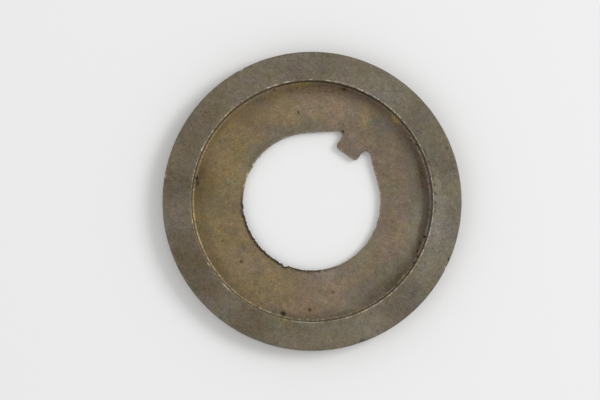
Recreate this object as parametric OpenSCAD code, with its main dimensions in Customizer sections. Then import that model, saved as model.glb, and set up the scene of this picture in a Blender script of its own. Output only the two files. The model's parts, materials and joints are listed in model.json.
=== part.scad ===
// Thrust washer, in millimetres.
// One steel ring with a flat back, a raised rim round a recess, and a bore with a square tab.
// The back lies on z = 0, the bore's axis is the z axis, and the tab reaches in from the +y side.

/* [Rim] */
// Outside diameter of the ring
outer_diameter = 28.6; // [26:0.1:36]
// Full thickness, from the back to the face of the rim
thickness = 2; // [1.8:0.1:5]
// Radius that rounds the two outside edges
outer_edge_radius = 0.15; // [0.05:0.05:0.4]

/* [Recess] */
// Diameter of the recess at its mouth, where its wall would meet the face of the rim
recess_diameter = 23.1; // [20:0.1:25]
// Depth of the recess below the face of the rim
recess_depth = 1.25; // [0.5:0.05:1.6]
// Lean of the recess wall from upright, so that the recess widens to its mouth
recess_draft = 4; // [0:1:25]
// Radius between the wall and the floor of the recess
recess_foot_radius = 0.2; // [0.05:0.05:0.3]
// Radius that rounds the rim's inner edge
recess_edge_radius = 0.1; // [0.04:0.02:0.3]

/* [Bore] */
// Diameter of the round bore
bore_diameter = 13.2; // [10:0.1:16]
// Width and depth of the edge break that runs round the bore, its reliefs and the tab
bore_edge_break = 0.1; // [0.05:0.05:0.25]

/* [Tab] */
// Width of the tab from flank to flank
tab_width = 2.4; // [1.6:0.1:4]
// How far the tab's flat tip stands in from the round bore
tab_reach = 1; // [0.6:0.05:2]
// Radius of the two corners of the tip
tab_corner_radius = 0.35; // [0.3:0.05:0.6]
// Radius where each flank of the tab meets its relief
tab_root_radius = 0.45; // [0.1:0.05:0.5]
// Angle from the middle of the tab to where each flat relief leaves the bore
relief_angle = 39.5; // [30:0.5:45]

/* [Hidden] */
$fn = 180;

// How far a cutter passes the faces that it cuts
overlap = 0.05;
// How far two faces that run into each other cross, so that they don't only touch
crossing = 0.0005;

outer_r = outer_diameter / 2;
recess_r = recess_diameter / 2;
bore_r = bore_diameter / 2;

// Floor of the recess, and the radius at which the leaning wall would meet it
floor_z = thickness - recess_depth;
floor_r = recess_r - recess_depth * tan(recess_draft);

// The tab points along -y, and each relief is a flat that leaves the bore relief_angle away from it
tab_half = tab_width / 2;
tab_tip_y = bore_r - tab_reach;
tip_corner = [tab_half - tab_corner_radius, tab_tip_y + tab_corner_radius];
relief_length = bore_r * tan(relief_angle);

// The tab is rooted in the ring past the point where the two reliefs would meet
tab_end_y = bore_r / cos(relief_angle) + tab_half;

// Corner where a flank of the tab meets its relief
root_corner = [tab_half, (bore_r - tab_half * sin(relief_angle)) / cos(relief_angle)];

function along(angle) = [cos(angle), sin(angle)];

// Middle of the round that touches both sides of a corner
// The sides leave the corner at the angles first and second, in degrees from +x
function round_centre(corner, first, second, radius) =
    corner + along((first + second) / 2) * radius / sin((second - first) / 2);

// The four-sided patch over a corner, from the middle of its round to a margin past its sides
module corner_patch(corner, first, second, radius, margin) {
    half = (second - first) / 2;
    centre = round_centre(corner, first, second, radius);
    reach = radius + margin;
    outer_corner = centre - along(first + half) * reach / sin(half);
    side = reach / tan(half);
    polygon([centre, outer_corner + side * along(first), outer_corner, outer_corner + side * along(second)]);
}

// The piece between a corner and its round: cut away it rounds an edge, and added it fills a foot
module corner_web(corner, first, second, radius) {
    difference() {
        corner_patch(corner, first, second, radius, overlap);
        translate(round_centre(corner, first, second, radius)) circle(r = radius + crossing);
    }
}

// Space above the floor of the recess, as a section from the axis outwards
module recess_section() {
    mouth_z = thickness + overlap;
    mouth_r = recess_r + overlap * tan(recess_draft);
    polygon([[0, floor_z], [floor_r, floor_z], [mouth_r, mouth_z], [0, mouth_z]]);
}

// Half section of the ring before it is bored
module ring_section() {
    difference() {
        square([outer_r, thickness]);
        recess_section();
        corner_web([outer_r, 0], 90, 180, outer_edge_radius);
        corner_web([outer_r, thickness], 180, 270, outer_edge_radius);
        corner_web([recess_r, thickness], 270 - recess_draft, 360, recess_edge_radius);
    }
    corner_web([floor_r, floor_z], 90 - recess_draft, 180, recess_foot_radius);
}

// Half section of a hole through the floor, flared at both ends by the edge break
module hole_section(reach) {
    mouth = reach + bore_edge_break + overlap;
    polygon([
        [0, -overlap],
        [mouth, -overlap],
        [reach, bore_edge_break],
        [reach, floor_z - bore_edge_break],
        [mouth, floor_z + overlap],
        [0, floor_z + overlap]
    ]);
}

// Half section of a post as high as the floor, with the edge break at both ends
module post_section(reach) {
    end = reach - bore_edge_break;
    polygon([
        [0, 0],
        [end, 0],
        [reach, bore_edge_break],
        [reach, floor_z - bore_edge_break],
        [end, floor_z],
        [0, floor_z]
    ]);
}

// An upright section drawn along +y, with its x to the right
module run(length) {
    translate([0, length, 0]) rotate([90, 0, 0]) linear_extrude(length) children();
}

module both_sides() {
    children();
    mirror([1, 0, 0]) children();
}

// The ring with its round bore and the two reliefs
module bored_ring() {
    difference() {
        rotate_extrude() ring_section();
        rotate_extrude() hole_section(bore_r);
        both_sides() rotate(90 - relief_angle) run(relief_length) hole_section(bore_r - crossing);
    }
}

// The tab: flanks, tip and rounded tip corners, and the metal that fills its two roots
module tab() {
    both_sides() {
        translate([0, tip_corner.y, 0]) run(tab_end_y - tip_corner.y) post_section(tab_half);
        translate([0, tab_end_y, 0]) rotate(-90) run(tip_corner.x) post_section(tab_end_y - tab_tip_y);
        translate(tip_corner) rotate_extrude() post_section(tab_corner_radius + crossing);
        linear_extrude(floor_z)
            corner_patch(root_corner, 270, 360 - relief_angle, tab_root_radius, bore_edge_break + overlap);
    }
}

module thrust_washer() {
    color("#6e6556") difference() {
        union() {
            bored_ring();
            tab();
        }
        both_sides()
            translate(round_centre(root_corner, 270, 360 - relief_angle, tab_root_radius))
                rotate_extrude() hole_section(tab_root_radius + crossing);
    }
}

thrust_washer();
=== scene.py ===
"""Thrust washer of tempered steel, laid out as a Blender add-on: the ring, its finish and a plain stage."""

import json
import math
from collections import namedtuple
from types import SimpleNamespace

import bpy
import numpy as np
from bpy.props import FloatProperty, FloatVectorProperty, PointerProperty
from bpy.types import Operator, Panel, PropertyGroup
from mathutils import Matrix, Vector, noise


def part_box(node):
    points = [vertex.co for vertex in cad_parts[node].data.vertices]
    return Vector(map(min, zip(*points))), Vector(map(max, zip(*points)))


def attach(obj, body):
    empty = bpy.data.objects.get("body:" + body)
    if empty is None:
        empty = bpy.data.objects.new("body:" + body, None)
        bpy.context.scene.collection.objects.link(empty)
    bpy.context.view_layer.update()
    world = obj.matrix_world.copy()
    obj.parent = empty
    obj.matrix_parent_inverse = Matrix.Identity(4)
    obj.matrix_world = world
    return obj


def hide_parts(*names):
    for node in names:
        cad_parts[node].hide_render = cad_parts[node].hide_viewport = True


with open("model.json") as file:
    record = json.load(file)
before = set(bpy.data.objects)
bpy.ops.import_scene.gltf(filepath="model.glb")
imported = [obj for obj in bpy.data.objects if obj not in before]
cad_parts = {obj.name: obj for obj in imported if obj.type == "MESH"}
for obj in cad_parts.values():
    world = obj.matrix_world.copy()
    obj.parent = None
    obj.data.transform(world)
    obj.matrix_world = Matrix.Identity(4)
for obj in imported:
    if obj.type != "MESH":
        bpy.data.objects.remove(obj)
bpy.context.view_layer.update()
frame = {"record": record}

bl_info = {
    "name": "Thrust Washer",
    "version": (1, 0, 0),
    "blender": (4, 5, 0),
    "location": "View3D > Sidebar > Washer",
    "description": "Builds a keyed thrust washer of tempered steel on a plain stage",
    "category": "Add Mesh",
}

MM = 0.001
NODE = "thrust_washer"
node_low, node_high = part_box(NODE)
# The solid's round outside has small facets, so the shorter of its two reaches keeps the ring in its box
node_reach = min(-node_low.x, node_high.x)
keyed_bore = next(mount for mount in frame["record"]["mounts"] if mount["name"] == "keyed_bore")

# The image is 600 pixels wide, and the ring's own +X points this far clockwise from the image's right
IMAGE_WIDTH = 600
IMAGE_TURN = math.radians(35.5)


def linear(hex_colour):
    """Linear RGBA of a colour written as #RRGGBB, by the curve of the sRGB standard."""
    channels = [int(hex_colour[start:start + 2], 16) / 255 for start in (1, 3, 5)]
    return tuple(c / 12.92 if c <= 0.04045 else ((c + 0.055) / 1.055) ** 2.4 for c in channels) + (1.0,)


def length(name, description, default):
    """A length in metres that a user can change."""
    return FloatProperty(
        name=name,
        description=description,
        default=default,
        min=0.0,
        precision=5,
        unit="LENGTH",
        subtype="DISTANCE",
    )


def angle(name, description, degrees):
    """An angle that a user can change."""
    return FloatProperty(
        name=name,
        description=description,
        default=math.radians(degrees),
        unit="ROTATION",
        subtype="ANGLE",
    )


def colour(name, description, hex_colour):
    """A colour that a user can change."""
    return FloatVectorProperty(
        name=name,
        description=description,
        default=linear(hex_colour),
        size=4,
        min=0.0,
        max=1.0,
        subtype="COLOR",
    )


def share(name, description, default):
    """A share from 0 to 1 that a user can change."""
    return FloatProperty(
        name=name,
        description=description,
        default=default,
        min=0.0,
        max=1.0,
        subtype="FACTOR",
    )


class WasherSizes(PropertyGroup):
    """Sizes of the ring"""

    outer_diameter: length("Outside diameter", "Across the outside of the ring", 2 * node_reach)
    thickness: length("Thickness", "From the back to the face of the rim", node_high.z - node_low.z)
    outer_edge_radius: length("Outside edge", "Radius of the two outside edges", 0.15 * MM)
    recess_diameter: length("Recess diameter", "Across the mouth of the recess", 23.1 * MM)
    recess_depth: length("Recess depth", "From the face of the rim to the floor", 1.25 * MM)
    recess_draft: angle("Recess draft", "Lean of the recess wall from upright", 4)
    recess_foot_radius: length("Recess foot", "Radius between the wall and the floor", 0.2 * MM)
    recess_edge_radius: length("Recess edge", "Radius of the rim's inner edge", 0.1 * MM)
    bore_diameter: length("Bore diameter", "Across the round bore", 2 * keyed_bore["dims"]["r_mm"] * MM)
    bore_edge_break: length("Bore edge break", "Width of the break round the bore and the tab", 0.1 * MM)
    tab_width: length("Tab width", "From flank to flank", 2.4 * MM)
    tab_reach: length("Tab reach", "From the round bore to the flat tip", 1.0 * MM)
    tab_corner_radius: length("Tab corners", "Radius of the tip's corners", 0.35 * MM)
    tab_root_radius: length("Tab roots", "Radius where a flank meets its relief", 0.45 * MM)
    relief_angle: angle("Relief angle", "From the tab's middle to where a relief leaves the bore", 39.5)
    mesh_spacing: length("Mesh spacing", "Distance between columns of the mesh along the bore", 0.0525 * MM)


class WasherFinish(PropertyGroup):
    """Colours and gloss of the tempered steel"""

    rim_pale: colour("Pale rim", "Rubbed grey of the rim's face", "#837C6D")
    # The rim's tone clouds use this brown temper tint; laid mostly on the side away from the key light,
    # they also paint shade there
    rim_dark: colour("Dark rim", "Brown temper tint on the rim's face", "#574732")
    rim_grey: colour("Grey rim", "Cool grey smears on the rim's face", "#5C554D")
    corner_grey: colour("Rubbed corner", "Cool grey of the rubbed outside corner", "#8E8C86")
    brown: colour("Brown temper", "Brown temper tint in the recess", "#7A6C5C")
    gold: colour("Gold temper", "Yellow temper tint in the recess", "#837252")
    pink: colour("Pink temper", "Reddish temper tint in the recess", "#887762")
    grey: colour("Grey temper", "Bluish grey temper tint in the recess", "#6C675B")
    sage: colour("Greenish temper", "Dull greenish grey tint in the recess", "#7D7867")
    # Painted shade along the wall of the recess, where the wall shades the floor, with a darker temper tint
    shade_and_dark_temper: colour("Dark temper", "Dark temper tint along the wall of the recess", "#54442A")
    # A thin dirt layer along the wall on the side away from the key light, darkened further as painted
    # shadow of the wall
    film_and_shadow: colour("Dirt film", "Thin dried dirt along the wall of the recess", "#403A30")
    # Steel rubbed clean on edges, also used to paint highlights and glints
    bare_and_sheen: colour("Bare steel", "Steel that shows on worn edges", "#B9B09F")
    grime: colour("Grime", "Oily dirt in corners and pits", "#211B14")
    rust: colour("Rust", "Red rust in pits and at the foot of the wall", "#5F3D22")
    # Yellow stains, and a yellow painted highlight along the foot of the wall where it faces the key light
    stain_and_sheen: colour("Stain", "Yellow residue at the foot of the wall", "#9F8E49")
    metallic: share("Metallic", "How much of the surface reflects as bare metal", 0.75)
    roughness: share("Roughness", "Roughness of the tumbled face", 0.58)


class WasherStage(PropertyGroup):
    """Floor, light and camera"""

    floor_colour: colour("Floor", "Colour of the plain floor", "#EEEEEE")
    sky_colour: colour("Surroundings", "Colour of the even light all round", "#D8D8D8")
    key_turn: angle("Key turn", "Turn of the key light from the image's right", 20)
    key_height: angle("Key height", "Height of the key light above the floor", 45)
    key_level: share("Key level", "How much of a white floor's light comes from the key", 0.27)
    fill_level: share("Fill level", "How much of a white floor's light comes from the fill", 0.06)
    lens: FloatProperty(
        name="Lens",
        description="Focal length of the camera",
        default=280.0,
        min=1.0,
        unit="CAMERA",
    )


def in_millimetres(sizes):
    """The sizes as plain numbers: lengths in millimetres and angles in radians."""
    angles = ("recess_draft", "relief_angle")
    names = [name for name in WasherSizes.__annotations__ if name not in angles]
    size = SimpleNamespace(**{name: getattr(sizes, name) / MM for name in names})
    size.recess_draft = sizes.recess_draft
    size.relief_angle = sizes.relief_angle
    size.outer_r = size.outer_diameter / 2
    size.bore_r = size.bore_diameter / 2
    size.recess_r = size.recess_diameter / 2
    size.floor_z = size.thickness - size.recess_depth
    size.floor_r = size.recess_r - size.recess_depth * math.tan(size.recess_draft)
    return size


def heading(bearing):
    """The direction that lies at a bearing, in radians clockwise from +Y."""
    return np.stack([np.sin(bearing), np.cos(bearing)], axis=-1)


# The keyed bore, from the middle of the tab's tip to the far side of the bore, as lines and arcs
# Each column of the mesh starts on it, goes the short way into the metal, and ends on a middle ring

# Where the middle ring lies between the bore and the foot of the wall, as a share of the way
MIDDLE_RING_SHARE = 0.47
# Fewest columns on a line or an arc, and the bearings of the columns that start where two of them meet
FEWEST_STEPS = 3
TIP_BEARING = math.radians(4.0)
CORNER_BEARING = math.radians(4.8)
FLANK_BEARING = math.radians(6.0)
ROOT_BEARING = math.radians(12.0)


def straight(first, last, inward, bearings, spacing):
    """Points along a line, without its last, with the way into the metal and the bearings."""
    count = max(FEWEST_STEPS, round(math.dist(first, last) / spacing))
    along = np.arange(count)[:, None] / count
    points = np.array(first) + along * (np.array(last) - np.array(first))
    return points, np.tile(inward, (count, 1)), bearings[0] + along[:, 0] * (bearings[1] - bearings[0])


def rounded(centre, radius, turns, into_centre, bearings, spacing):
    """Points along an arc between two bearings round its centre, without its last."""
    count = max(FEWEST_STEPS, round(abs(turns[1] - turns[0]) * radius / spacing))
    along = np.arange(count) / count
    out = heading(turns[0] + along * (turns[1] - turns[0]))
    inward = -out if into_centre else out
    return np.array(centre) + radius * out, inward, bearings[0] + along * (bearings[1] - bearings[0])


def bore_outline(size):
    """The whole keyed bore: its points, the way into the metal at each, and where their columns end."""
    half = size.tab_width / 2
    tip_y = size.bore_r - size.tab_reach
    corner_r = size.tab_corner_radius
    corner = (half - corner_r, tip_y + corner_r)
    relief = size.relief_angle
    root_r = size.tab_root_radius
    root_x = half + root_r
    root_y = (size.bore_r - root_r - root_x * math.sin(relief)) / math.cos(relief)
    root = (root_x, root_y)
    relief_start = np.array(root) + root_r * heading(relief)
    relief_end = size.bore_r * heading(relief)
    quarter = math.pi / 2
    step = size.mesh_spacing
    stretches = [
        straight((0, tip_y), (corner[0], tip_y), (0, 1), (0, TIP_BEARING), step),
        rounded(corner, corner_r, (2 * quarter, quarter), True, (TIP_BEARING, CORNER_BEARING), step),
        straight((half, corner[1]), (half, root_y), (-1, 0), (CORNER_BEARING, FLANK_BEARING), step),
        rounded(root, root_r, (-quarter, relief), False, (FLANK_BEARING, ROOT_BEARING), step),
        straight(relief_start, relief_end, heading(relief), (ROOT_BEARING, relief), step),
        rounded((0, 0), size.bore_r, (relief, math.pi), False, (relief, math.pi), step),
    ]
    points, inward, bearings = (np.concatenate(parts) for parts in zip(*stretches))
    mirror = np.array([-1, 1])
    far_point = [[0, -size.bore_r]]
    far_inward = [[0, -1]]
    points = np.concatenate([points, far_point, points[:0:-1] * mirror])
    inward = np.concatenate([inward, far_inward, inward[:0:-1] * mirror])
    bearings = np.concatenate([bearings, [math.pi], -bearings[:0:-1]])
    return points, inward, bearings


# The section of the ring, as rings of the mesh that go once round it from the bore's wall
# A ring this far from a sharp edge, in mm or as a share of the way to the middle ring, keeps the edge crisp

SUPPORT = 0.02
SUPPORT_SHARE = 0.012
WALL_RINGS = 5
BREAK_RINGS = 4
FLOOR_RINGS = 20
ROUND_RINGS = 5
RIM_RINGS = 24
BACK_RINGS = 3


def arc_section(centre, radius, first, last, count):
    """Radius and height along a round of the section, between two angles in degrees from outwards."""
    turns = np.radians(np.linspace(first, last, count + 1))
    return [(centre[0] + radius * math.cos(turn), centre[1] + radius * math.sin(turn)) for turn in turns]


def ring_section(size):
    """The rings of the mesh in order: the zone of each, its points in plan and its height."""
    points, inward, bearings = bore_outline(size)
    out = heading(bearings)
    edge = size.bore_edge_break
    draft = math.degrees(size.recess_draft)
    lean = math.radians((90 + draft) / 2)
    foot = size.recess_foot_radius
    foot_centre = (size.floor_r - foot / math.tan(lean), size.floor_z + foot)
    lip = size.recess_edge_radius
    lip_centre = (size.recess_r + lip / math.tan(lean), size.thickness - lip)
    corner = size.outer_edge_radius
    corner_r = size.outer_r - corner
    middle_r = size.bore_r + MIDDLE_RING_SHARE * (foot_centre[0] - size.bore_r)

    def inset(depth):
        return points + depth * inward

    def across(part):
        return (1 - part) * inset(edge) + part * middle_r * out

    rings = []

    def add(zone, plan, height):
        rings.append((zone, plan, height))

    top = size.floor_z - edge
    for height in [edge + SUPPORT, *np.linspace(edge, top, WALL_RINGS)[1:-1], top - SUPPORT]:
        add("bore", inset(0), height)
    for part in np.linspace(0, 1, BREAK_RINGS + 1):
        add("break", inset(part * edge), top + part * edge)
    for part in [SUPPORT_SHARE, *np.linspace(0, 1, FLOOR_RINGS + 1)[1:]]:
        add("floor", across(part), size.floor_z)
    for radius in [*np.linspace(middle_r, foot_centre[0], FLOOR_RINGS + 1)[1:-1], foot_centre[0] - SUPPORT]:
        add("floor", radius * out, size.floor_z)
    foot_arc = arc_section(foot_centre, foot, -90, -draft, ROUND_RINGS)
    lip_arc = arc_section(lip_centre, lip, 180 - draft, 90, ROUND_RINGS)
    for radius, height in foot_arc:
        add("foot", radius * out, height)
    for part in np.linspace(0, 1, WALL_RINGS)[1:-1]:
        radius, height = (1 - part) * np.array(foot_arc[-1]) + part * np.array(lip_arc[0])
        add("wall", radius * out, height)
    for radius, height in lip_arc:
        add("lip", radius * out, height)
    rim_radii = np.linspace(lip_centre[0], corner_r, RIM_RINGS)[1:-1]
    for radius in [lip_centre[0] + SUPPORT, *rim_radii, corner_r - SUPPORT]:
        add("rim", radius * out, size.thickness)
    for radius, height in arc_section((corner_r, size.thickness - corner), corner, 90, 0, ROUND_RINGS):
        add("corner", radius * out, height)
    for height in np.linspace(size.thickness - corner, corner, WALL_RINGS)[1:-1]:
        add("side", size.outer_r * out, height)
    for radius, height in arc_section((corner_r, corner), corner, 0, -90, ROUND_RINGS - 1):
        add("side", radius * out, height)
    for radius in [corner_r - SUPPORT, *np.linspace(corner_r, middle_r, BACK_RINGS + 1)[1:]]:
        add("back", radius * out, 0.0)
    for part in [*np.linspace(1, 0, BACK_RINGS + 1)[1:-1], SUPPORT_SHARE]:
        add("back", across(part), 0.0)
    for part in np.linspace(1, 0, BREAK_RINGS):
        add("back", inset(part * edge), edge - part * edge)
    return rings


# Marks on the ring from use, handling and tempering, and marks of painted shade and highlight: radius from
# the axis in mm, angle from +X in degrees, size across the ring and along it in mm, and strength from 0 to
# 1

Mark = namedtuple("Mark", "radius angle across along strength")

PITS = [
    Mark(11.12, 291.0, 0.34, 0.44, 1.0),
    Mark(10.43, 304.3, 0.22, 0.26, 0.9),
    Mark(8.9, 318.5, 0.18, 0.20, 0.55),
    Mark(8.9, 256.0, 0.18, 0.16, 0.6),
    Mark(9.4, 239.5, 0.15, 0.17, 0.6),
    Mark(8.66, 134.3, 0.20, 0.20, 0.9),
    Mark(8.4, 79.0, 0.14, 0.14, 0.4),
    Mark(8.0, 21.0, 0.15, 0.16, 0.35),
    Mark(8.6, 124.5, 0.17, 0.17, 0.4),
    Mark(10.0, 194.0, 0.17, 0.17, 0.4),
    Mark(10.7, 247.0, 0.17, 0.17, 0.4),
    Mark(10.75, 284.0, 0.17, 0.17, 0.4),
    Mark(8.95, 2.5, 0.17, 0.17, 0.4),
]
RUSTY_PITS = [
    Mark(8.9, 318.5, 0.36, 0.40, 0.45),
    Mark(10.43, 304.3, 0.30, 0.32, 0.4),
    Mark(8.9, 256.0, 0.36, 0.36, 0.5),
    Mark(11.25, 109.5, 0.44, 0.60, 0.7),
    Mark(11.3, 72.0, 0.30, 0.70, 0.35),
    Mark(11.3, 66.0, 0.20, 0.50, 0.25),
    Mark(11.1, 8.0, 0.30, 0.90, 0.2),
    Mark(10.64, 47.0, 0.18, 1.20, 0.3),
    Mark(10.62, 21.5, 0.22, 0.80, 0.5),
]
CRUMBS = [
    Mark(11.22, 204.0, 0.38, 0.42, 0.7),
    Mark(11.05, 206.5, 0.32, 0.38, 0.5),
    Mark(11.25, 144.2, 0.24, 0.40, 0.45),
    Mark(11.2, 109.5, 0.20, 0.26, 0.6),
    Mark(11.35, 278.5, 0.18, 0.22, 0.6),
    Mark(11.25, 18.2, 0.26, 0.30, 0.7),
    Mark(11.1, 14.5, 0.24, 0.26, 0.35),
    Mark(11.15, 10.4, 0.22, 0.30, 0.7),
    Mark(11.4, 8.0, 0.20, 0.26, 0.7),
    Mark(11.35, 69.5, 0.16, 0.30, 0.6),
    Mark(11.15, 67.0, 0.18, 0.20, 0.5),
    Mark(11.4, 64.2, 0.14, 0.44, 0.6),
    Mark(11.4, 4.5, 0.20, 0.30, 0.7),
    Mark(7.3, 101.8, 0.30, 0.40, 0.8),
]
STAINS = [
    Mark(11.2, 80.0, 0.34, 1.00, 0.9),
    Mark(11.35, 1.2, 0.26, 0.40, 0.45),
    Mark(11.25, 355.5, 0.26, 0.50, 0.45),
    Mark(11.3, 132.0, 0.36, 2.60, 0.3),
]
GOLD_ZONES = [
    Mark(9.4, 220.5, 8.0, 27.0, 1.0),
    Mark(9.6, 93.0, 2.6, 1.9, 0.9),
    Mark(8.6, 316.0, 3.0, 5.0, 0.4),
    Mark(11.0, 133.0, 0.9, 3.0, 1.0),
    Mark(11.0, 146.0, 1.2, 4.4, 1.0),
    Mark(7.8, 6.0, 1.8, 4.4, 0.5),
]
PINK_ZONES = [
    Mark(9.0, 118.0, 3.6, 5.8, 0.9),
    Mark(8.9, 315.0, 3.4, 4.8, 0.8),
    Mark(9.3, 10.5, 2.0, 3.4, 0.8),
    Mark(9.2, 260.0, 3.0, 2.6, 0.5),
    Mark(8.5, 26.0, 2.2, 3.0, 0.6),
    Mark(7.8, 2.0, 2.2, 6.0, 0.60),
    Mark(8.1, 263.0, 1.4, 4.6, 0.45),
]
GREY_ZONES = [
    Mark(10.1, 83.5, 1.8, 1.8, 0.8),
    Mark(10.0, 345.0, 2.0, 6.4, 0.55),
    Mark(10.6, 345.0, 0.8, 6.0, 0.6),
    Mark(7.1, 143.0, 1.2, 8.0, 0.5),
    Mark(11.0, 314.0, 0.8, 4.8, 0.4),
    Mark(9.9, 48.0, 1.2, 6.0, 0.3),
    Mark(10.2, 68.0, 1.0, 4.0, 0.4),
]
GREY_SPOTS = [
    Mark(8.9, 216.0, 0.40, 0.40, 1.0),
    Mark(8.65, 280.5, 0.34, 0.34, 0.7),
    Mark(10.63, 201.8, 0.36, 0.40, 0.5),
]
SAGE_SPOTS = [
    Mark(8.3, 201.5, 0.42, 0.46, 0.9),
]
SAGE_ZONES = [
    Mark(10.2, 26.0, 1.1, 5.6, 0.7),
    Mark(10.2, 4.0, 1.2, 4.0, 0.5),
    Mark(10.3, 56.0, 0.9, 4.0, 0.5),
    Mark(7.2, 335.0, 0.9, 8.0, 0.5),
    Mark(7.2, 192.0, 0.9, 4.4, 0.35),
    Mark(10.7, 327.0, 0.8, 3.0, 0.5),
    Mark(7.2, 42.0, 0.8, 3.0, 0.3),
]
# Painted shade on the recess floor along its wall, where the wall shades it, and a few darker temper
# patches farther in
SHADE_AND_DARK_TEMPER_ZONES = [
    Mark(10.95, 120.0, 1.3, 10.0, 0.55),
    Mark(10.75, 206.0, 1.4, 4.6, 0.5),
    Mark(10.6, 62.0, 1.0, 7.4, 0.36),
    Mark(11.3, 104.0, 0.5, 6.0, 0.5),
    Mark(10.5, 52.0, 0.9, 5.0, 0.40),
    Mark(10.6, 232.0, 0.8, 9.0, 0.25),
    Mark(10.0, 208.0, 1.4, 3.0, 0.42),
    Mark(10.9, 146.0, 1.0, 4.4, 0.40),
    Mark(11.2, 297.0, 0.6, 3.0, 0.30),
    Mark(10.8, 252.0, 0.8, 3.0, 0.30),
    Mark(10.2, 102.0, 1.0, 2.6, 0.20),
    Mark(10.4, 162.0, 1.6, 3.6, 0.22),
    Mark(7.0, 170.0, 0.8, 3.4, 0.20),
    Mark(10.6, 347.0, 0.9, 6.0, 0.42),
    Mark(11.15, 12.8, 0.50, 1.30, 0.4),
    Mark(10.95, 9.5, 0.44, 0.90, 0.5),
    Mark(11.15, 178.0, 0.60, 2.60, 0.28),
    Mark(9.1, 297.0, 1.3, 2.4, 0.15),
    Mark(10.25, 57.0, 1.5, 4.0, 0.26),
    Mark(10.2, 70.0, 1.2, 3.0, 0.14),
    Mark(10.4, 217.0, 1.1, 3.0, 0.12),
]
# A thin dirt layer along the wall on the side away from the key light; its darkness also paints the wall's
# shadow on the floor
DIRT_FILMS_AND_SHADOW = [
    Mark(10.94, 35.0, 0.80, 8.8, 0.44),
    Mark(11.0, 60.0, 0.50, 5.0, 0.26),
    Mark(10.88, 8.0, 0.66, 5.0, 0.08),
    Mark(11.0, 336.0, 0.60, 2.4, 0.25),
    Mark(11.1, 321.0, 0.40, 2.6, 0.30),
    Mark(11.0, 350.5, 0.60, 2.8, 0.40),
]
# Darker clouds on the rim's face: brown temper tint, laid mostly on the side away from the key light, where
# they also paint shade
DARK_CLOUDS = [
    Mark(13.0, 184.0, 3.0, 7.0, 0.45),
    Mark(13.0, 208.0, 3.4, 3.4, 0.75),
    Mark(13.1, 244.0, 3.6, 7.6, 0.85),
    Mark(13.0, 278.0, 3.4, 3.8, 0.75),
    Mark(12.3, 298.0, 1.4, 3.0, 0.40),
    Mark(12.3, 132.0, 1.4, 3.0, 0.35),
]
GREY_CLOUDS = [
    Mark(12.4, 57.0, 1.4, 2.4, 0.5),
    Mark(13.0, 50.5, 2.2, 2.8, 0.7),
    Mark(12.8, 73.5, 2.8, 3.2, 0.7),
    Mark(13.0, 119.5, 3.0, 2.0, 0.6),
    Mark(12.9, 348.0, 3.2, 4.8, 0.9),
    Mark(13.4, 277.0, 2.4, 4.6, 0.45),
]
# Paler clouds on the rim's face, mostly on the side toward the key light, where they paint a sheen; the
# last is a small pale speck
PALE_CLOUDS = [
    Mark(12.2, 39.0, 1.6, 3.0, 1.0),
    Mark(12.1, 26.0, 1.5, 5.0, 1.0),
    Mark(13.8, 41.0, 1.4, 3.0, 0.4),
    Mark(12.6, 90.0, 2.4, 4.4, 0.40),
    Mark(12.9, 330.5, 3.0, 2.0, 0.5),
    Mark(12.8, 14.5, 3.2, 6.4, 0.5),
    Mark(12.05, 166.5, 0.30, 0.30, 0.8),
]
# Nicks in the lip, whose clean steel is drawn bright as painted glints
LIP_NICKS = [
    Mark(11.62, 137.5, 0.14, 0.50, 0.7),
    Mark(11.62, 142.5, 0.14, 0.44, 0.7),
    Mark(11.62, 146.5, 0.14, 0.36, 0.6),
    Mark(11.62, 190.0, 0.14, 0.44, 0.7),
    Mark(11.62, 261.0, 0.20, 0.80, 1.0),
    Mark(11.62, 247.0, 0.14, 0.30, 0.7),
    Mark(11.62, 225.0, 0.14, 0.36, 0.5),
    Mark(11.62, 118.0, 0.14, 0.50, 0.7),
    Mark(11.62, 102.5, 0.14, 0.50, 0.7),
    Mark(11.62, 332.0, 0.14, 0.60, 0.8),
    Mark(11.64, 340.0, 0.14, 0.44, 0.6),
    Mark(11.6, 345.5, 0.20, 0.44, 0.9),
    Mark(11.6, 349.0, 0.20, 0.40, 0.8),
    Mark(11.64, 1.0, 0.14, 0.44, 0.6),
    Mark(11.62, 335.5, 0.14, 0.60, 1.0),
    Mark(11.62, 20.5, 0.14, 0.70, 0.8),
    Mark(11.62, 170.5, 0.14, 0.60, 0.7),
]
# Painted highlights where the bore's edge catches the light
BORE_GLINTS = [
    Mark(6.64, 203.0, 0.20, 0.40, 1.0),
    Mark(6.64, 193.5, 0.20, 0.44, 1.0),
    Mark(6.64, 183.0, 0.20, 0.30, 0.7),
    Mark(6.64, 174.0, 0.20, 0.36, 0.5),
]
RIM_SPECKS = [
    Mark(13.85, 57.0, 0.30, 0.34, 0.5),
    Mark(12.1, 69.0, 0.20, 0.20, 0.5),
    Mark(12.6, 93.0, 0.18, 0.18, 0.4),
    Mark(12.1, 333.0, 0.20, 0.24, 0.5),
    Mark(14.1, 325.0, 0.30, 0.40, 0.6),
    Mark(13.9, 332.2, 0.36, 0.44, 0.35),
    Mark(13.9, 17.0, 0.20, 0.20, 0.4),
    Mark(14.2, 12.5, 0.26, 0.30, 0.6),
]
CORNER_DINGS = [
    Mark(14.25, 154.0, 0.20, 0.34, 0.5),
    Mark(14.24, 206.0, 0.20, 0.36, 0.6),
    Mark(14.26, 201.0, 0.14, 0.28, 0.35),
    Mark(14.25, 9.0, 0.20, 0.34, 0.6),
]


# Stretches of the ring where an edge has wear, dirt or darker tone, and stretches of painted highlight: the
# angle from +X in degrees where each is strongest, how far it spreads in degrees, and its strength

Stretch = namedtuple("Stretch", "angle spread strength")

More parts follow.
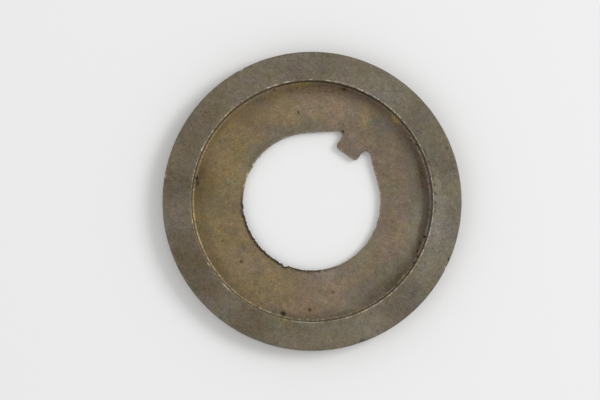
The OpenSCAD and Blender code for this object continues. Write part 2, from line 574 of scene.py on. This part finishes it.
TORN_BORE = [Stretch(249, 32, 1.7), Stretch(305, 20, 0.5)]
SCORED_BORE = [
    Stretch(57, 13, 1.0),
    Stretch(185, 15, 0.7),
    Stretch(222, 8, 0.55),
    Stretch(283, 7, 1.0),
    Stretch(15, 28, 0.35),
]
# Steel rubbed clean on the lip, brightened round the ring with painted highlight
LIP_SHINE = [
    Stretch(60, 75, 0.85),
    Stretch(190, 25, 0.4),
    Stretch(88, 12, 0.3),
    Stretch(16, 18, 0.65),
    Stretch(328, 10, 0.4),
    Stretch(302, 9, 0.35),
]
LIP_BEADS = [Stretch(46, 24, 1.0)]
# Painted highlight on the wall on the key light's side, where the wall faces the fill light
WALL_SHINE = [Stretch(28, 32, 0.13), Stretch(58, 14, 0.10)]
# Darker stretches of the recess wall
WALL_DARKENING = [Stretch(103, 18, 0.15), Stretch(200, 35, 0.34)]
# Painted highlight on the foot of the wall, raised where it faces the key light and lowered where it faces
# away
FOOT_SHINE = [Stretch(103, 30, -0.14), Stretch(232, 20, 0.09), Stretch(282, 10, 0.08)]
# Yellow painted highlight on the foot of the wall where it faces the key light
FOOT_SHEEN = [Stretch(215, 55, 0.27), Stretch(232, 15, 0.12), Stretch(284, 12, 0.3)]
CORNER_SHINE = [Stretch(215, 70, 0.10)]
CORNER_DIRT = [Stretch(55, 60, 0.2)]

# Shine that is the same all round: on the lip, the foot and the bore's edge it is rubbed steel with painted
# highlight, on the outside corner rubbed steel
LIP_SHINE_ALL_ROUND = 0.08
FOOT_SHINE_ALL_ROUND = 0.14
BORE_SHINE_ALL_ROUND = 0.3
CORNER_SHINE_ALL_ROUND = 0.06

# Lumps of the noise that wear follows: size in mm, and a seed
Lumps = namedtuple("Lumps", "size seed")
BROAD = Lumps(1.4, 3.1)
BROAD_ALONG = Lumps(1.4, 6.4)
MIDDLING = Lumps(0.6, 7.7)
MIDDLING_ALONG = Lumps(0.6, 5.3)
FINE = Lumps(0.25, 1.9)
FINE_ALONG = Lumps(0.25, 8.6)

# How far the outlines of small marks and of broad tints stray, in mm, in larger and in smaller lumps
MARK_STRAY = 0.05
MARK_FRAY = 0.04
FILM_FRAY = 0.12
TINT_STRAY = 0.5
TINT_FRAY = 0.2

# How strongly a mark covers its own outline, and how far its strength has fallen there
OUTLINE_COVER = 0.5
OUTLINE_FALL = math.exp(-1)

# Soft borders of the marks, from crisp to wide
CRISP_BORDER = 0.15
SPOT_BORDER = 0.6
WIDE_BORDER = 0.73

# How far wear moves the surface, in mm
FLOOR_WAVE = 0.006
FLOOR_RIPPLE = 0.003
RIM_LOSS = 0.008
RIM_WAVE = 0.004
RIM_RIPPLE = 0.003
LIP_STRAY = 0.02
LIP_FRAY = 0.015
NICK_DEPTH = 0.02
CORNER_LOSS = 0.010
CORNER_STRAY = 0.008
DING_WIDTH = 0.04
DING_DEPTH = 0.03
BORE_FRAY = 0.03
TORN_FRAY = 0.105
SCORE_DEPTH = 0.30
CRUMB_HEIGHT = 0.05
PIT_DEPTH = 0.10

# Lines that follow an edge: their distance from it, and half their width, in mm
LIP_REACH = 0.2
LIP_LINE = (0.04, 0.05)
BEAD_LINE = (0.18, 0.10)
FOOT_LINE = (-0.08, 0.10)
BORE_LINE = (0.06, 0.15)

# Shares of the larger and the smaller lumps in a torn edge, and how many rings of the floor follow it
TEAR_MIDDLING = 0.4
TEAR_FINE = 0.6
FOLLOWING_RINGS = 4

# How shine or dirt flickers with the fine noise: its mean, its change with the noise, and its limits
Flicker = namedtuple("Flicker", "mean change least most")
LIP_FLICKER = Flicker(0.8, 1.8, 0.0, 2.0)
FOOT_FLICKER = Flicker(1.0, 2.0, -1.0, 3.0)
WALL_FLICKER = Flicker(1.0, -3.0, 0.0, 2.0)
TORN_FLICKER = Flicker(1.3, 1.2, 0.0, 2.5)
BEAD_FLICKER = Flicker(-1.0, 7.0, 0.0, 1.0)
SPECKLE_FLICKER = Flicker(0.0, 0.9, 0.0, 1.0)

# Dirt in pits and on crumbs, more than full so that it covers most of their soft borders
PIT_DIRT = 1.2

# Share of brown tint on the rim, how far the clouds change it, which also paints shade and sheen across the
# rim, and the share of grey in a smear
RIM_TINT = 0.38
CLOUD_CHANGE = 0.40
SMEAR_SHARE = 0.52


def wander(places, lumps):
    """Smooth noise of about -1 to 1 at each place."""
    shifted = places.reshape(-1, 3) / lumps.size + lumps.seed
    return np.array([noise.noise(place) for place in shifted.tolist()]).reshape(places.shape[:-1])


def degrees_past(turn, angle):
    """How far each angle lies past another, from -180 to 180 degrees."""
    return (turn - angle + 180) % 360 - 180


def spots(marks, radius, turn, border=SPOT_BORDER):
    """How strongly the marks cover each place, from 0 to 1, each flat in its middle with a soft border."""
    cover = np.zeros(radius.shape)
    for mark in marks:
        across = (radius - mark.radius) / (mark.across / 2)
        along = np.radians(degrees_past(turn, mark.angle)) * mark.radius / (mark.along / 2)
        inside = (np.exp(-(across**2 + along**2)) - OUTLINE_FALL) / border + OUTLINE_COVER
        cover = np.maximum(cover, mark.strength * np.clip(inside, 0, 1))
    return cover


def around(stretches, turn):
    """The sum of the stretches at each angle."""
    total = np.zeros(turn.shape)
    for part in stretches:
        total += part.strength * np.exp(-((degrees_past(turn, part.angle) / part.spread) ** 2))
    return total


def survey(zones, points):
    """Where each point of the mesh lies, the noise there, and where it looks up ragged marks."""
    spot = SimpleNamespace()
    spot.zone = np.broadcast_to(np.array(zones)[:, None], points.shape[:2])
    spot.radius = np.hypot(points[..., 0], points[..., 1])
    spot.outward = points[..., :2] / spot.radius[..., None]
    spot.turn = np.degrees(np.arctan2(points[..., 1], points[..., 0]))
    spot.broad = wander(points, BROAD)
    spot.middling = wander(points, MIDDLING)
    spot.fine = wander(points, FINE)
    middling_along = wander(points, MIDDLING_ALONG)
    mark_along = MARK_STRAY * middling_along + MARK_FRAY * wander(points, FINE_ALONG)
    spot.mark_radius = spot.radius + MARK_STRAY * spot.middling + MARK_FRAY * spot.fine
    spot.mark_turn = spot.turn + np.degrees(mark_along / spot.radius)
    tint_along = TINT_STRAY * wander(points, BROAD_ALONG) + TINT_FRAY * middling_along
    spot.tint_radius = spot.radius + TINT_STRAY * spot.broad + TINT_FRAY * spot.middling
    spot.tint_turn = spot.turn + np.degrees(tint_along / spot.radius)
    spot.torn = np.clip(around(TORN_BORE, spot.turn), 0, 1)
    return spot


def within(spot, *names):
    """1 in the named zones of the section and 0 elsewhere."""
    return np.isin(spot.zone, names) * 1.0


def edge_line(spot, radius, line):
    """A soft line round the ring, 1 in its middle, at its distance from a radius."""
    offset, half_width = line
    return np.exp(-(((spot.radius - radius - offset) / half_width) ** 2))


def flickering(spot, flicker):
    """How strongly shine or dirt shows at each point, as it flickers with the fine noise."""
    return np.clip(flicker.mean + flicker.change * spot.fine, flicker.least, flicker.most)


def wear_ring(size, spot, zones, points, inward):
    """Moves the points of the mesh: waves, a straying lip, nicks, dings, a ragged bore, pits and crumbs."""
    floor = within(spot, "floor", "foot")
    top = within(spot, "rim", "lip", "corner")
    corner = within(spot, "corner")
    points[..., 2] += floor * (FLOOR_WAVE * spot.broad + FLOOR_RIPPLE * spot.middling)
    points[..., 2] -= top * (RIM_LOSS + RIM_WAVE * spot.broad + RIM_RIPPLE * spot.middling)

    near_lip = within(spot, "wall", "lip", "rim") * edge_line(spot, size.recess_r, (0, LIP_REACH))
    spot.nicks = spots(LIP_NICKS, spot.radius, spot.turn) * top
    spot.dings = spots(CORNER_DINGS, spot.radius, spot.turn) * within(spot, "corner", "rim")
    sideways = near_lip * (LIP_STRAY * spot.middling + LIP_FRAY * spot.fine) + NICK_DEPTH * spot.nicks
    sideways -= corner * (CORNER_LOSS + CORNER_STRAY * spot.middling) + DING_WIDTH * spot.dings
    points[..., :2] += spot.outward * sideways[..., None]
    points[..., 2] -= NICK_DEPTH * spot.nicks + DING_DEPTH * spot.dings

    # The punch tore the bore's upper edge, and scored stretches of its wall straight through to the back
    torn_rings = within(spot, "break") + within(spot, "bore") * points[..., 2] / size.floor_z
    scored_rings = within(spot, "break", "bore")
    # The last rings are the one beside the back's break and the break itself
    back_break = -(BREAK_RINGS + 1)
    scored_rings[back_break:] = 1.0
    first_floor = zones.index("floor")
    for step in range(FOLLOWING_RINGS):
        torn_rings[first_floor + step] = 1 - step / FOLLOWING_RINGS
        scored_rings[first_floor + step] = 1 - step / FOLLOWING_RINGS
    lumps = TEAR_MIDDLING * spot.middling + TEAR_FINE * spot.fine
    scored = np.clip(around(SCORED_BORE, spot.turn[first_floor]), 0, 1)
    scores = SCORE_DEPTH * scored * lumps[first_floor]
    ragged = torn_rings * (BORE_FRAY + TORN_FRAY * spot.torn) * lumps + scored_rings * scores
    points[..., :2] += inward * ragged[..., None]

    spot.pits = spots(PITS, spot.mark_radius, spot.mark_turn) * floor
    spot.crumbs = spots(CRUMBS, spot.mark_radius, spot.mark_turn) * floor
    points[..., 2] += CRUMB_HEIGHT * spot.crumbs - PIT_DEPTH * spot.pits


def finish_masks(size, spot):
    """The masks that place the coats of the finish, each from 0 to 1 at every point of the mesh."""
    recess = within(spot, "bore", "break", "floor", "foot", "wall")
    floor = within(spot, "floor", "foot")
    wall = within(spot, "wall")
    corner = within(spot, "corner")
    top = within(spot, "rim", "lip", "corner", "wall")
    mark = (spot.mark_radius, spot.mark_turn)
    tint = (spot.tint_radius, spot.tint_turn)
    film_and_shadow = (spot.mark_radius + FILM_FRAY * spot.fine, spot.mark_turn)
    turn = spot.turn
    lip_line = edge_line(spot, size.recess_r, LIP_LINE) * within(spot, "lip", "wall", "rim")
    bead_line = edge_line(spot, size.recess_r, BEAD_LINE) * within(spot, "lip", "rim")
    foot_line = edge_line(spot, size.floor_r, FOOT_LINE) * within(spot, "foot")
    bore_line = edge_line(spot, size.bore_r, BORE_LINE) * recess

    lip_shine = LIP_SHINE_ALL_ROUND + around(LIP_SHINE, turn)
    foot_shine = FOOT_SHINE_ALL_ROUND + around(FOOT_SHINE, turn)
    # Steel rubbed clean on edges together with painted highlights on the lip, the foot, the wall and the
    # bore's edge, and painted glints at nicks
    shine = lip_line * lip_shine * flickering(spot, LIP_FLICKER)
    shine += foot_line * foot_shine * flickering(spot, FOOT_FLICKER)
    shine += wall * around(WALL_SHINE, turn) * flickering(spot, WALL_FLICKER)
    shine += within(spot, "bore", "break") * BORE_SHINE_ALL_ROUND * (1 - spot.torn)
    shine += spot.nicks * within(spot, "lip", "wall") + spot.dings
    shine += spots(BORE_GLINTS, spot.radius, turn) * recess

    dirt = PIT_DIRT * (spot.pits + spot.crumbs) + spots(RIM_SPECKS, *mark) * top
    dirt += bore_line * spot.torn * flickering(spot, TORN_FLICKER)
    dirt += bead_line * around(LIP_BEADS, turn) * flickering(spot, BEAD_FLICKER)
    dirt += wall * (around(WALL_DARKENING, turn) + flickering(spot, SPECKLE_FLICKER))
    dirt += corner * around(CORNER_DIRT, turn)

    dark = spots(DARK_CLOUDS, *tint, WIDE_BORDER)
    pale = spots(PALE_CLOUDS, *tint, WIDE_BORDER)
    masks = {
        "cloud": RIM_TINT + CLOUD_CHANGE * (dark - pale),
        "smear": SMEAR_SHARE * spots(GREY_CLOUDS, *tint, WIDE_BORDER),
        "rubbed": corner * (CORNER_SHINE_ALL_ROUND + around(CORNER_SHINE, turn)),
        "recess": recess,
        "gold": spots(GOLD_ZONES, *tint, WIDE_BORDER) * recess,
        "pink": spots(PINK_ZONES, *tint, WIDE_BORDER) * recess,
        "grey": (spots(GREY_ZONES, *tint, WIDE_BORDER) + spots(GREY_SPOTS, *mark)) * recess,
        "sage": (spots(SAGE_ZONES, *tint, WIDE_BORDER) + spots(SAGE_SPOTS, *mark)) * recess,
        # Painted shade along the recess wall, and darker temper patches
        "shade_and_dark_temper": spots(SHADE_AND_DARK_TEMPER_ZONES, *mark, WIDE_BORDER) * recess,
        # Dirt layer with painted shadow of the wall
        "film_and_shadow": spots(DIRT_FILMS_AND_SHADOW, *film_and_shadow, CRISP_BORDER) * floor,
        # Yellow stains, and painted highlight on the foot of the wall
        "stain_and_sheen": spots(STAINS, *mark) * recess + foot_line * around(FOOT_SHEEN, turn),
        "rust": spots(RUSTY_PITS, *mark) * recess,
        # Steel rubbed clean on edges, with painted highlights and glints
        "wear_and_sheen": shine,
        "grime": dirt,
    }
    return {name: np.clip(values, 0, 1) for name, values in masks.items()}


def add_node(tree, kind, settings, inputs):
    """Adds a node with its settings, and sets each input, by name or number, to a value or a link."""
    node = tree.nodes.new(kind)
    for name, value in settings.items():
        setattr(node, name, value)
    for key, value in inputs.items():
        if isinstance(value, bpy.types.NodeSocket):
            tree.links.new(value, node.inputs[key])
        else:
            node.inputs[key].default_value = value
    return node


# Patterns in the steel's skin: size in mm, and how strongly each varies the tone, the red and the blue
# Tumbling leaves a grain of a few hundredths of a millimetre, too fine to show, so it is drawn coarser
Pattern = namedtuple("Pattern", "size tone red blue")
PATTERNS = {
    "clouds": Pattern(4.0, 0.08, 0.08, 0.17),
    "blotches": Pattern(1.5, 0.17, 0.10, 0.19),
    "flecks": Pattern(0.45, 0.27, 0.09, 0.15),
    "grain": Pattern(0.12, 0.54, 0.05, 0.09),
}
# Finer layers in each pattern, and the strength and height of the grain's bumps
PATTERN_DETAIL = 1.0
GRAIN_STRENGTH = 0.4
GRAIN_HEIGHT = 0.004 * MM
# Middle value of a pattern, which as a colour leaves a channel as it is
MIDDLE = 0.5

# Dark specks all over: distance between them in mm, and their soft edge and core as parts of that distance
SPECK_SPACING = 0.8
SPECK_EDGE = 0.17
SPECK_CORE = 0.05
SPECK_DEPTH = 0.3

# Coats of the finish, the first lowest: the mask that places it, the pattern that breaks it up and how much
Coat = namedtuple("Coat", "mask pattern broken colour")
COATS = [
    Coat("cloud", "blotches", 0.2, "rim_dark"),
    Coat("smear", "blotches", 0.2, "rim_grey"),
    Coat("rubbed", "flecks", 0.6, "corner_grey"),
    Coat("recess", None, 0.0, "brown"),
    Coat("gold", "blotches", 0.6, "gold"),
    Coat("pink", "blotches", 0.6, "pink"),
    Coat("grey", "blotches", 0.4, "grey"),
    Coat("sage", "blotches", 0.5, "sage"),
    # Some coats carry painted light: shade along the recess wall, the wall's shadow in the dirt layer, a
    # highlight on the foot among the yellow stains, highlights and glints on rubbed steel
    Coat("shade_and_dark_temper", "flecks", 0.7, "shade_and_dark_temper"),
    Coat("film_and_shadow", "flecks", 0.5, "film_and_shadow"),
    Coat("stain_and_sheen", "grain", 0.8, "stain_and_sheen"),
    Coat("rust", "grain", 0.8, "rust"),
    Coat("wear_and_sheen", "grain", 0.9, "bare_and_sheen"),
    Coat("grime", "grain", 0.9, "grime"),
]
# How steeply a pattern breaks up a coat, and the change of roughness where the steel has wear or painted
# highlight
BREAK_GAIN = 4
WORN_ROUGHNESS_CHANGE = -0.15
# Numbers of the sockets of a Mix node that mixes colours
MIX_SHARE = 0
MIX_BELOW = 6
MIX_ABOVE = 7
MIX_RESULT = 2


def tumbled_steel(finish):
    """The finish of the ring: carbon steel, tempered in air and then tumbled."""
    # Tempering leaves a brown and yellow oxide, which tumbling rubs to a matt grey except in the recess
    # Besides the steel's own tints, wear and dirt, its coats paint shade along the recess wall and
    # highlights on its edges
    material = bpy.data.materials.new("tempered_steel_tumbled")
    material.use_nodes = True
    tree = material.node_tree
    tree.nodes.clear()
    place = add_node(tree, "ShaderNodeTexCoord", {}, {}).outputs["Object"]
    pattern = {}
    for name in PATTERNS:
        scale = 1 / (PATTERNS[name].size * MM)
        settings = {"Vector": place, "Scale": scale, "Detail": PATTERN_DETAIL}
        pattern[name] = add_node(tree, "ShaderNodeTexNoise", {}, settings)

    # A broken coat is thicker where its pattern is bright and thin or gone where it is dark
    colours = {"data_type": "RGBA"}
    product = {"operation": "MULTIPLY", "use_clamp": True}
    product_and_sum = {"operation": "MULTIPLY_ADD"}
    mask = {}
    skin = finish.rim_pale
    for coat in COATS:
        part = add_node(tree, "ShaderNodeAttribute", {"attribute_name": coat.mask}, {}).outputs["Fac"]
        mask[coat.mask] = part
        if coat.pattern:
            gain = BREAK_GAIN * coat.broken
            settings = {0: pattern[coat.pattern].outputs["Fac"], 1: gain, 2: 1 - MIDDLE * gain}
            breaks = add_node(tree, "ShaderNodeMath", product_and_sum, settings).outputs["Value"]
            part = add_node(tree, "ShaderNodeMath", product, {0: part, 1: breaks}).outputs["Value"]
        settings = {MIX_SHARE: part, MIX_BELOW: skin, MIX_ABOVE: getattr(finish, coat.colour)}
        skin = add_node(tree, "ShaderNodeMix", colours, settings).outputs[MIX_RESULT]

    settings = {"Vector": place, "Scale": 1 / (SPECK_SPACING * MM)}
    speck = add_node(tree, "ShaderNodeTexVoronoi", {}, settings).outputs["Distance"]
    settings = {"Value": speck, "From Min": SPECK_EDGE, "From Max": SPECK_CORE, "To Max": SPECK_DEPTH}
    speck = add_node(tree, "ShaderNodeMapRange", {}, settings).outputs["Result"]
    settings = {MIX_SHARE: speck, MIX_BELOW: skin, MIX_ABOVE: finish.grime}
    skin = add_node(tree, "ShaderNodeMix", colours, settings).outputs[MIX_RESULT]

    # The tone of the whole skin varies with each pattern, and its red and blue vary apart from the tone
    overlay = {"data_type": "RGBA", "blend_type": "OVERLAY"}
    for name in PATTERNS:
        settings = {
            MIX_SHARE: PATTERNS[name].tone,
            MIX_BELOW: skin,
            MIX_ABOVE: pattern[name].outputs["Fac"],
        }
        skin = add_node(tree, "ShaderNodeMix", overlay, settings).outputs[MIX_RESULT]
        parts = add_node(tree, "ShaderNodeSeparateColor", {}, {"Color": pattern[name].outputs["Color"]})
        settings = {"Red": parts.outputs["Green"], "Green": MIDDLE, "Blue": MIDDLE}
        warm = add_node(tree, "ShaderNodeCombineColor", {}, settings).outputs["Color"]
        settings = {MIX_SHARE: PATTERNS[name].red, MIX_BELOW: skin, MIX_ABOVE: warm}
        skin = add_node(tree, "ShaderNodeMix", overlay, settings).outputs[MIX_RESULT]
        settings = {"Red": MIDDLE, "Green": MIDDLE, "Blue": parts.outputs["Blue"]}
        cool = add_node(tree, "ShaderNodeCombineColor", {}, settings).outputs["Color"]
        settings = {MIX_SHARE: PATTERNS[name].blue, MIX_BELOW: skin, MIX_ABOVE: cool}
        skin = add_node(tree, "ShaderNodeMix", overlay, settings).outputs[MIX_RESULT]

    settings = {0: mask["wear_and_sheen"], 1: WORN_ROUGHNESS_CHANGE, 2: finish.roughness}
    rough = add_node(tree, "ShaderNodeMath", product_and_sum, settings)
    grain = pattern["grain"].outputs["Fac"]
    settings = {"Strength": GRAIN_STRENGTH, "Distance": GRAIN_HEIGHT, "Height": grain}
    bump = add_node(tree, "ShaderNodeBump", {}, settings)
    settings = {
        "Base Color": skin,
        "Metallic": finish.metallic,
        "Roughness": rough.outputs["Value"],
        "Normal": bump.outputs["Normal"],
    }
    shader = add_node(tree, "ShaderNodeBsdfPrincipled", {}, settings)
    add_node(tree, "ShaderNodeOutputMaterial", {}, {"Surface": shader.outputs["BSDF"]})
    return material


class WASHER_OT_ring(Operator):
    """Build the washer: one closed mesh with its wear, finished as tempered steel"""

    bl_idname = "washer.ring"
    bl_label = "Build Ring"

    def execute(self, context):
        size = in_millimetres(context.scene.washer_sizes)
        rings = ring_section(size)
        zones = [zone for zone, plan, height in rings]
        points = np.stack([
            np.column_stack([plan, np.full(len(plan), height)])
            for zone, plan, height in rings
        ])
        spot = survey(zones, points)
        wear_ring(size, spot, zones, points, bore_outline(size)[1])
        masks = finish_masks(size, spot)
        ring_count, column_count = points.shape[:2]
        number = np.arange(ring_count * column_count).reshape(ring_count, column_count)
        next_ring = np.roll(number, -1, axis=0)
        next_column = np.roll(number, -1, axis=1)
        corner = np.roll(next_ring, -1, axis=1)
        faces = np.stack([number, next_column, corner, next_ring], axis=-1).reshape(-1, 4)
        mesh = bpy.data.meshes.new("washer_ring")
        mesh.from_pydata((points.reshape(-1, 3) * MM).tolist(), [], faces.tolist())
        for name, values in masks.items():
            attribute = mesh.attributes.new(name, "FLOAT", "POINT")
            attribute.data.foreach_set("value", values.astype(np.float32).ravel())
        mesh.shade_smooth()
        mesh.materials.append(tumbled_steel(context.scene.washer_finish))
        ring = bpy.data.objects.new("washer_ring", mesh)
        context.scene.collection.objects.link(ring)
        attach(ring, "root")
        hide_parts(NODE)
        return {"FINISHED"}


# Sizes and distances of the stage in metres
FLOOR_WIDTH = 3.0
FLOOR_GAP = 0.01 * MM
LIGHT_DISTANCE = 0.5
KEY_WIDTH = 0.22
FILL_WIDTH = 0.35
# Height of the fill light above the floor, and the roughness of the floor
FILL_HEIGHT = math.radians(50)
FLOOR_ROUGHNESS = 0.9
# Pixels of the image per mm on the rim's face, and pixels from the image's middle to the ring's axis
IMAGE_SCALE = 10.475
AXIS_RIGHT = 12.35
AXIS_DOWN = 0.83
# The camera stands a little to one side of straight above, at this turn from the image's right
VIEW_TURN = math.radians(236)
VIEW_LEAN = math.radians(3.4)
# Width of the camera's film in mm
SENSOR_WIDTH = 36.0


def towards(turn, height):
    """The direction at a turn from +X and a height above the floor, both in radians."""
    level = math.cos(height)
    return Vector((math.cos(turn) * level, math.sin(turn) * level, math.sin(height)))


class WASHER_OT_stage(Operator):
    """Set the plain floor, the soft light and the camera, which leans a little from straight above"""

    bl_idname = "washer.stage"
    bl_label = "Set Stage"

    def execute(self, context):
        scene = context.scene
        stage = scene.washer_stage
        self.lay_floor(scene, stage)
        self.light(scene, "key_light", stage.key_turn, stage.key_height, KEY_WIDTH, stage.key_level)
        self.light(scene, "fill_light", stage.key_turn + math.pi, FILL_HEIGHT, FILL_WIDTH, stage.fill_level)
        scene.world = bpy.data.worlds.new("studio")
        scene.world.use_nodes = True
        scene.world.node_tree.nodes["Background"].inputs["Color"].default_value = stage.sky_colour
        self.place_camera(scene, stage)
        scene.view_settings.view_transform = "Standard"
        return {"FINISHED"}

    def lay_floor(self, scene, stage):
        """A plain floor just under the washer."""
        half = FLOOR_WIDTH / 2
        mesh = bpy.data.meshes.new("floor")
        corners = [(-half, -half, 0), (half, -half, 0), (half, half, 0), (-half, half, 0)]
        mesh.from_pydata(corners, [], [(0, 1, 2, 3)])
        # Uncoated white board scatters light evenly, so it shows soft shadows and no gloss
        material = bpy.data.materials.new("matt_board")
        material.use_nodes = True
        shader = material.node_tree.nodes["Principled BSDF"]
        shader.inputs["Base Color"].default_value = stage.floor_colour
        shader.inputs["Roughness"].default_value = FLOOR_ROUGHNESS
        shader.inputs["Specular IOR Level"].default_value = 0.0
        mesh.materials.append(material)
        floor = bpy.data.objects.new("floor", mesh)
        floor.location.z = node_low.z - FLOOR_GAP
        scene.collection.objects.link(floor)

    def light(self, scene, name, turn, height, width, level):
        """A square lamp that lights a white floor at the washer to that level."""
        lamp = bpy.data.lights.new(name, "AREA")
        lamp.size = width
        lamp.energy = level * (math.pi * LIGHT_DISTANCE) ** 2 / math.sin(height)
        light = bpy.data.objects.new(name, lamp)
        direction = towards(turn + IMAGE_TURN, height)
        light.location = direction * LIGHT_DISTANCE
        light.rotation_euler = direction.to_track_quat("Z", "Y").to_euler()
        scene.collection.objects.link(light)

    def place_camera(self, scene, stage):
        """A camera that sees the ring at its place and scale in the image."""
        lens = bpy.data.cameras.new("camera")
        lens.lens = stage.lens
        lens.sensor_width = SENSOR_WIDTH
        camera = bpy.data.objects.new("camera", lens)
        pixel = MM / IMAGE_SCALE
        right = Vector((math.cos(IMAGE_TURN), math.sin(IMAGE_TURN), 0))
        up = Vector((-math.sin(IMAGE_TURN), math.cos(IMAGE_TURN), 0))
        distance = IMAGE_WIDTH * stage.lens / SENSOR_WIDTH * pixel
        aim = up * AXIS_DOWN * pixel - right * AXIS_RIGHT * pixel
        aim.z = node_high.z
        back = towards(VIEW_TURN + IMAGE_TURN, math.pi / 2 - VIEW_LEAN)
        side = up.cross(back).normalized()
        camera.location = aim + back * distance
        camera.rotation_euler = Matrix((side, back.cross(side), back)).transposed().to_euler()
        scene.collection.objects.link(camera)
        scene.camera = camera


class WASHER_PT_panel(Panel):
    """Sizes, finish and stage of the washer"""

    bl_idname = "WASHER_PT_panel"
    bl_label = "Thrust Washer"
    bl_space_type = "VIEW_3D"
    bl_region_type = "UI"
    bl_category = "Washer"

    def draw(self, context):
        for group in ("washer_sizes", "washer_finish", "washer_stage"):
            settings = getattr(context.scene, group)
            box = self.layout.box()
            for name in type(settings).__annotations__:
                box.prop(settings, name)
        for operator in (WASHER_OT_ring, WASHER_OT_stage):
            self.layout.operator(operator.bl_idname)


CLASSES = (WasherSizes, WasherFinish, WasherStage, WASHER_OT_ring, WASHER_OT_stage, WASHER_PT_panel)


def register():
    for cls in CLASSES:
        bpy.utils.register_class(cls)
    bpy.types.Scene.washer_sizes = PointerProperty(type=WasherSizes)
    bpy.types.Scene.washer_finish = PointerProperty(type=WasherFinish)
    bpy.types.Scene.washer_stage = PointerProperty(type=WasherStage)


def unregister():
    del bpy.types.Scene.washer_stage
    del bpy.types.Scene.washer_finish
    del bpy.types.Scene.washer_sizes
    for cls in reversed(CLASSES):
        bpy.utils.unregister_class(cls)


def main():
    register()
    bpy.ops.washer.ring()
    bpy.ops.washer.stage()


if __name__ == "__main__":
    main()
